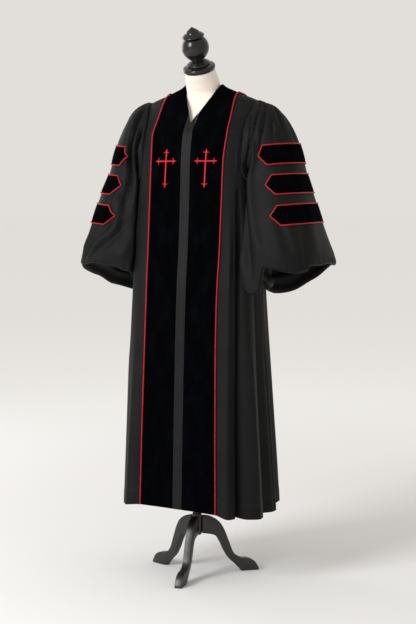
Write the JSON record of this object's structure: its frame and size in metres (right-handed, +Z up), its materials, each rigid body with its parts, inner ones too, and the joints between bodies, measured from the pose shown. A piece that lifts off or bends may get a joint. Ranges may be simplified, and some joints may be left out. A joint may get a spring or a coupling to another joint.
{
  "type": "graduation gown on a dress form",
  "caption": "Full-length black graduation gown with velvet front panels, red piping, embroidered crosses and barred bell sleeves, open inside, on a limbless dress form with a tripod stand.",
  "frame": {"origin": "on the floor, under the middle of the whole object's box", "axes": "+Z up; the gown's front faces -Y; +X towards the wearer's left"},
  "size_m": [0.841, 0.4693, 1.7362],
  "materials": {
    "gown_cloth": "matte black worsted-look gown cloth",
    "band_cloth": "slightly satin black cloth",
    "velvet": "deep black cotton velvet",
    "red_piping": "red corded piping, soft sheen",
    "cross_thread": "red satin-stitch embroidery thread",
    "cream_linen": "cream cotton jersey stretched over padding",
    "black_lacquer": "turned wood, glossy black lacquer",
    "black_wood": "sawn wood, black satin paint"
  },
  "bodies": {
    "root": {"back": "gown_cloth", "band_left": "band_cloth", "band_right": "band_cloth", "bar_left_1": "velvet", "bar_left_2": "velvet", "bar_left_3": "velvet", "bar_piping_left_1": "red_piping", "bar_piping_left_2": "red_piping", "bar_piping_left_3": "red_piping", "bar_piping_right_1": "red_piping", "bar_piping_right_2": "red_piping", "bar_piping_right_3": "red_piping", "bar_right_1": "velvet", "bar_right_2": "velvet", "bar_right_3": "velvet", "column": "black_wood", "finial": "black_lacquer", "form_body": "cream_linen", "front_left": "gown_cloth", "front_right": "gown_cloth", "hub": "black_wood", "leg_1": "black_wood", "leg_2": "black_wood", "leg_3": "black_wood", "neck_cap": "black_lacquer", "piping": "red_piping", "sleeve_left": "gown_cloth", "sleeve_right": "gown_cloth", "velvet_left": "velvet", "velvet_neck": "velvet", "velvet_right": "velvet", "yoke_back": "gown_cloth", "yoke_left": "gown_cloth", "yoke_right": "gown_cloth"}
  },
  "joints": []
}
